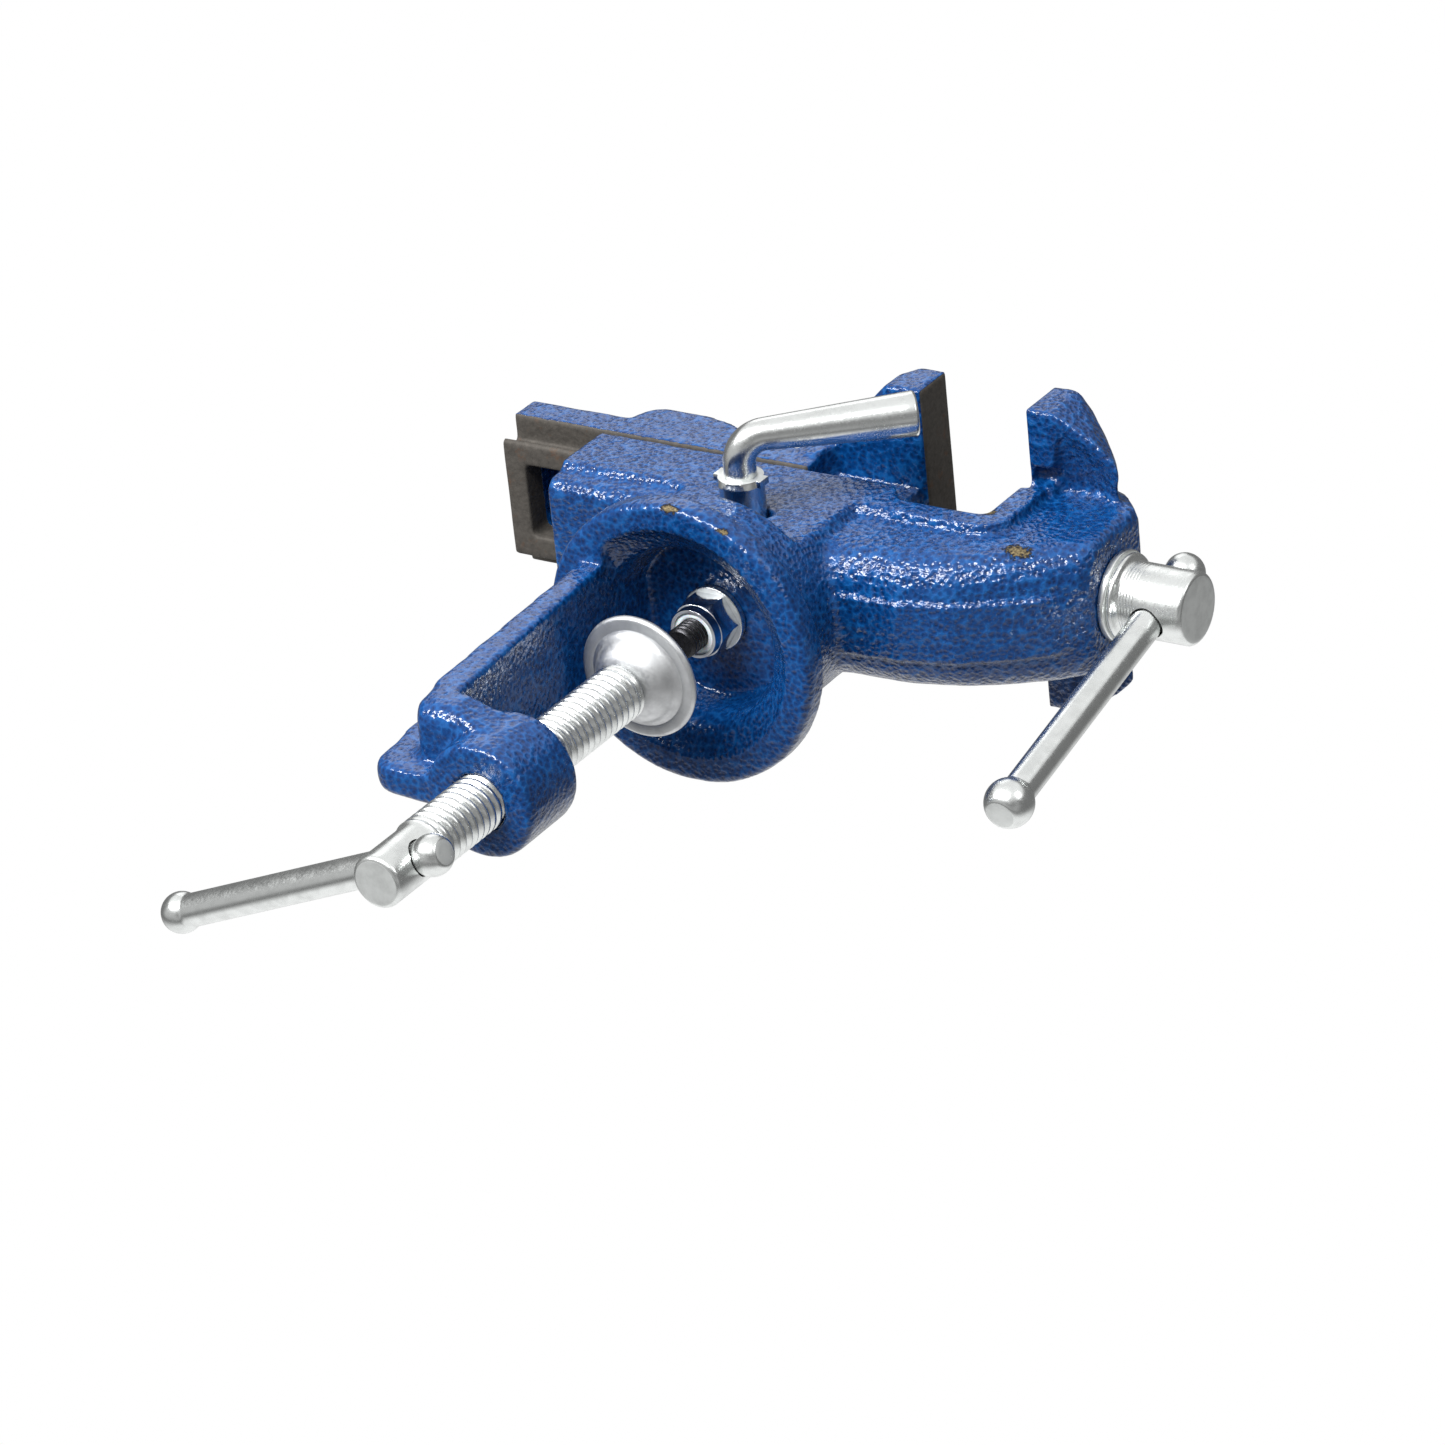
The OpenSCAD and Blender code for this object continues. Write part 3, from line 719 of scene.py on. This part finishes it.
def make_clamp_side():
    """The bench screw with its bar and its pad."""
    axis = (0, 0, 1)
    rows = [(-94.5, 2.0, 0), (-94.5, 3.95, 0)]
    rows += arc(-93.6, 4.0, 0.9, 180, 90)
    rows += [(-93.0, 4.9, 0), (-90, 4.9, 0), (-82.2, 4.9, 0), (-81.3, 5.22, 0)]
    rows += thread_rows(*CLAMP_THREAD, 5.3)
    rows += [(-18.5, 4.6, 0), (-18.3, 4.4, 0), (-18.28, 3.0, 0), (-16.2, 3.0, 0), (-16.15, 4.05, 0),
             (-14.7, 3.3, 0), (-14.65, 1.5, 0)]
    screw = lathe("clamp_spindle", rows, (0, 0, 0), axis, 72, depth=THREAD_DEPTH)
    way = (math.cos(BAR_TURN), math.sin(BAR_TURN), 0)
    cross_hole(screw, (0, 0, BAR_Z), way, BAR_HOLE_R, 4.9, 0.25)
    soften(screw, 32)
    look = steel("zinc_clamp_screw", (0, 0, 0), axis, rings=0.35, thread=(4.72, *CLAMP_THREAD))
    finish_piece(screw, look, "clamp_spindle", "zinc", "clamp_screw")
    bar("clamp_handle", "clamp_bar", "clamp_handle", (0, 0, BAR_Z), way, -54.0, 6.8, 7.5, 7.5)
    top = -11.8
    outline = arc(top - 0.35, 8.35, 0.35, 0, -90, 3)
    outline += [(top - 0.9, 7.66, 0), (top - 1.8, 7.25, 0), (top - 2.7, 6.6, 0), (top - 3.5, 5.75, 0),
                (top - 4.2, 4.9, 0), (top - 4.65, 4.0, 0), (top - 4.78, 3.22, 0), (top - 6.18, 3.22, 0),
                (top - 6.14, 3.9, 0), (top - 5.9, 4.9, 0), (top - 5.4, 5.95, 0), (top - 4.6, 6.85, 0),
                (top - 3.6, 7.6, 0), (top - 2.7, 8.0, 0), (top - 2.0, 8.35, 0), (top - 1.62, 8.9, 0),
                (top - 1.52, 9.2, 0), (top - 1.46, 9.3, 0), (top - 1.46, 9.42, 0), (top - 1.5, 9.5, 0)]
    outline += arc(top - 0.75, 11.0, 0.75, 180, 0, 8)
    pad = lathe("pad_cup", outline, (0, 0, 0), axis, 96, closed=True)
    soften(pad, 60)
    look = steel("zinc_pad", (0, 0, 0), axis, (0.62, 0.63, 0.64), rough=(0.40, 0.58), rings=0.25)
    finish_piece(pad, look, "pad", "zinc", "clamp_pad")


def make_main_side():
    """The main screw with its grooved head and its bar."""
    axis, origin = (1, 0, 0), (0, 0, SCREW_Z)
    rows = [(-37.2, 2.0, 0), (-37.1, 3.5, 0), (-36.3, 4.4, 0)]
    rows += thread_rows(*MAIN_THREAD, 4.5)
    rows += [(48.4, 4.5, 0), (65.25, 4.5, 0), (65.26, 7.7, 0)]
    rows += arc(65.85, 7.4, 0.6, 180, 20, 6)[1:]
    rows += [(66.55, 7.35, 0), (66.75, 7.0, 0), (67.1, 6.75, 0)]
    for groove in range(5):
        start = 67.4 + groove * 0.62
        rows += [(start, 6.75, 0), (start + 0.12, 6.66, 0),
                 (start + 0.26, 6.66, 0), (start + 0.38, 6.75, 0)]
    rows += [(71, 6.75, 0), (78.6, 6.75, 0)]
    rows += arc(78.85, 5.8, 0.95, 90, 15, 6)
    rows += [(79.8, 5.4, 0), (79.78, 3.0, 0)]
    screw = lathe("main_spindle", rows, origin, axis, 96, depth=THREAD_DEPTH)
    way = (0, -math.sin(BAR_TILT), math.cos(BAR_TILT))
    cross_hole(screw, (HOLE_X, 0, SCREW_Z), way, BAR_HOLE_R, 6.75, 0.35)
    soften(screw, 32)
    look = steel("zinc_main_screw", origin, axis, rings=0.6, thread=(3.95, *MAIN_THREAD))
    finish_piece(screw, look, "main_spindle", "zinc", "main_screw")
    bar("main_handle", "main_bar", "main_handle", (HOLE_X, 0, SCREW_Z), way, -57.4, 8.8, 9.0, 7.5)


def washer(node, body, origin, axis, low, high, bore, radius, look):
    """A flat ring with rounded edges, from low to high along its axis."""
    e = 0.22
    outline = arc(low + e, bore + e, e, 270, 180, 3) + arc(low + e, radius - e, e, 180, 90, 3)
    outline += arc(high - e, radius - e, e, 90, 0, 3) + arc(high - e, bore + e, e, 0, -90, 3)
    obj = lathe(node + "_look", outline, origin, axis, 80, closed=True)
    soften(obj, 50)
    finish_piece(obj, look, body, "zinc", node)


def make_small_parts():
    """Washers, nuts, the lock cam and its ring, the nut's screw and the retaining pin."""
    up, side, forward = (0, 0, 1), (0, 1, 0), (1, 0, 0)
    screw_line, lever_line = (0, 0, SCREW_Z), (0, 0, LEVER_Z)
    washer("thrust_washer", "main_spindle", screw_line, forward, 63.92, 65.18, 4.5, 8.4,
           steel("zinc_thrust_washer", screw_line, forward, rough=(0.26, 0.4), rings=0.3))
    washer("inner_washer", "main_spindle", screw_line, forward, 55.32, 57.38, 4.5, 7.6,
           steel("zinc_inner_washer", screw_line, forward, rough=(0.26, 0.4), rings=0.3))
    washer("swivel_washer", "body", (0, 0, 0), up, 11.62, 12.98, BOLT_R + 0.2, NUT_R + 0.4,
           steel("zinc_swivel_washer", (0, 0, 0), up, rough=(0.2, 0.34), rings=0.3))
    nut_look = steel("zinc_nut", (0, 0, 0), up, (0.72, 0.74, 0.77), rough=(0.10, 0.22), rings=0.12)
    cam_look = steel("zinc_cam", lever_line, side, rough=(0.14, 0.28), rings=0.3)
    screw_look = steel("zinc_nut_screw", (-24, 0, 55), up)
    for node, width, segments, look, body, slot in (
            ("swivel_nut", 0.25, 3, nut_look, "body", "zinc"),
            ("swivel_nut_insert", 0.12, 2, nylon("nylon"), "body", "nylon"),
            ("lock_cam", 0.3, 3, cam_look, "lock", "zinc"),
            ("lock_cam_ring", 0.12, 2, bare_iron("iron_ring"), "lock", "bare_iron"),
            ("main_nut", 0.4, 2, bare_iron("iron_nut"), "jaw", "bare_iron"),
            ("main_nut_screw", 0.15, 2, screw_look, "jaw", "zinc"),
            ("retaining_pin", 0.2, 2, bare_iron("iron_pin"), "main_spindle", "bare_iron")):
        finish_piece(soft_copy(node, width, segments), look, body, slot, node)


def make_swivel_bolt():
    """Black bolt whose top is an eye round the lock cam."""
    rows = [(0.8, 1.4, 0), (0.82, BOLT_R - 0.6, 0), (1.3, BOLT_R - 0.15, 0)]
    rows += thread_rows(1.35, 17.5, BOLT_R, 1.0, 0.6)
    rows += [(17.7, BOLT_R, 0), (21.0, BOLT_R, 0), (21.0, 2.0, 0)]
    bolt = lathe("swivel_bolt_look", rows, (0, 0, 0), (0, 0, 1), 48, depth=0.5, pitch=1.0)
    line, side = (0, 0, LEVER_Z), (0, 1, 0)
    rim = [(-4.4, 2.0, 0), (-4.4, 4.9, 0), (-4.1, 5.2, 0),
           (4.1, 5.2, 0), (4.4, 4.9, 0), (4.4, 2.0, 0)]
    combine(bolt, lathe("eye", rim, line, side, 48), "UNION")
    combine(bolt, lathe("eye_hole", [(-6, 3.5, 0), (6, 3.5, 0)], line, side, 48), "DIFFERENCE")
    soften(bolt, 32)
    finish_piece(bolt, black_oxide("black_oxide"), "body", "black_bolt", "swivel_bolt")


def make_lever():
    """Round rod pressed into the cam, bent once, and thicker towards its free end."""
    tilt = math.radians(39)
    rod, swell, edge, bend, length, steps = 3.0, 1.2, 0.7, 5.0, 26.9, 48
    away = Vector((0, -1, 0))
    out = Vector((math.cos(tilt), 0, math.sin(tilt)))
    side = out.cross(Vector((0, 1, 0))).normalized()
    start = Vector((0, -19, LEVER_Z))
    corner = Vector((0, -25, LEVER_Z))
    rings = [(start, away, rod), (start + Vector((0, -3, 0)), away, rod)]
    for i in range(15):
        a = math.radians(90 * i / 14)
        centre = corner + out * (bend * (1 - math.cos(a))) + Vector((0, -bend * math.sin(a), 0))
        rings.append((centre, out * math.sin(a) + Vector((0, -math.cos(a), 0)), rod))
    elbow = rings[-1][0]
    for i in range(1, 21):
        rings.append((elbow + out * (length * i / 20), out, rod + swell * i / 20))
    for i in range(1, 6):
        a = math.radians(90 * i / 5)
        radius = rod + swell - edge + edge * math.cos(a)
        rings.append((elbow + out * (length + edge * math.sin(a)), out, radius))
    points, faces = [], []
    for centre, way, radius in rings:
        up = way.cross(side).normalized()
        for i in range(steps):
            a = TAU * i / steps
            points.append(centre + (side * math.cos(a) + up * math.sin(a)) * radius)
    for j in range(len(rings) - 1):
        for i in range(steps):
            k = (i + 1) % steps
            faces.append((j * steps + i, j * steps + k, (j + 1) * steps + k, (j + 1) * steps + i))
    faces.append(tuple(range(steps)))
    last = (len(rings) - 1) * steps
    faces.append(tuple(last + i for i in range(steps)))
    lever = new_object("lever_rod", points, faces)
    recalculate(lever)
    soften(lever, 40)
    look = steel("zinc_lever", tuple(elbow), tuple(out), rough=(0.16, 0.30), rings=0.15, streaks=0.4)
    finish_piece(lever, look, "lock", "zinc", "lock_lever")


# ---------------------------------------------------------------- the scene

make_camera()
make_world()
make_floor()
area_light("key", (-0.22, -0.77, -0.52), 1.1, (1.15, 0.20), 26)
area_light("fill", (0.70, -0.62, 0.10), 1.3, (0.5, 0.5), 1.6)
area_light("sheen", (-0.53, -0.45, 0.72), 1.4, (0.6, 0.8), 1.6)
bpy.context.scene.view_settings.view_transform = "Standard"

make_castings()
make_clamp_side()
make_main_side()
make_small_parts()
make_swivel_bolt()
make_lever()
